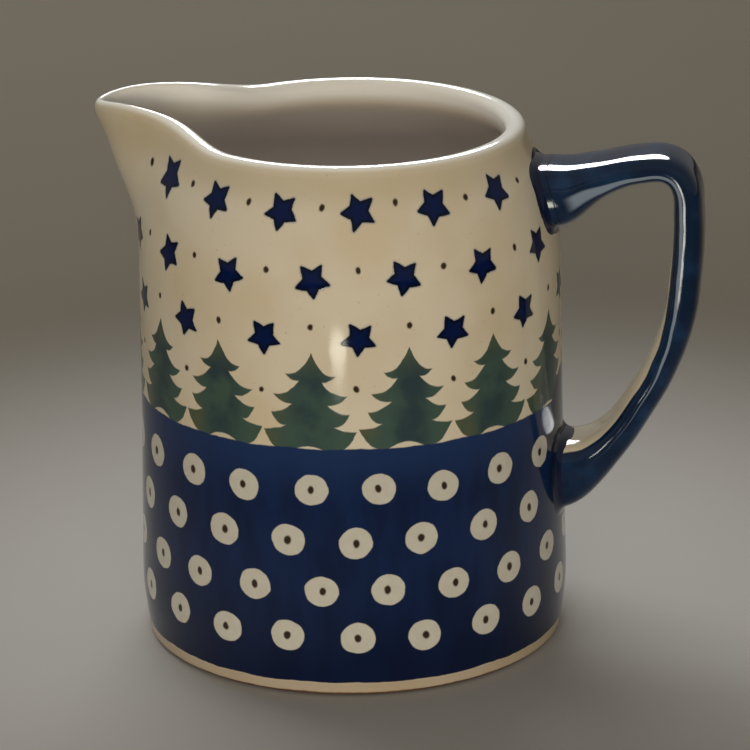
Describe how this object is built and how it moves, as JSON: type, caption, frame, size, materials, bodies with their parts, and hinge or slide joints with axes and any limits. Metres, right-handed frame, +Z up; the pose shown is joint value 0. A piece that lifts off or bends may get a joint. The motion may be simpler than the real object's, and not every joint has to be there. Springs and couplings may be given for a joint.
{
  "type": "stoneware pouring jug",
  "caption": "Glazed stoneware pouring jug with a pulled spout and a strap handle, stamped with stars, fir trees and a dotted blue band.",
  "frame": {"origin": "centre of the object's box at the level it stands on, between the spout's tip and the handle's bow", "axes": "+Z up along the body's axis, +X towards the handle, -X towards the spout, Y across the mirror plane"},
  "size_m": [0.1807, 0.1284, 0.1629],
  "materials": {
    "decorated_glaze": "glossy clear glaze over cream stoneware with cobalt, green and brown stamping",
    "cobalt_glaze": "glossy clear glaze over cobalt",
    "joint_slip": "glossy clear glaze over cobalt"
  },
  "bodies": {
    "root": {"jug_body": "decorated_glaze", "handle": "cobalt_glaze", "upper_slip_joint": "joint_slip", "lower_slip_joint": "joint_slip"}
  },
  "joints": []
}
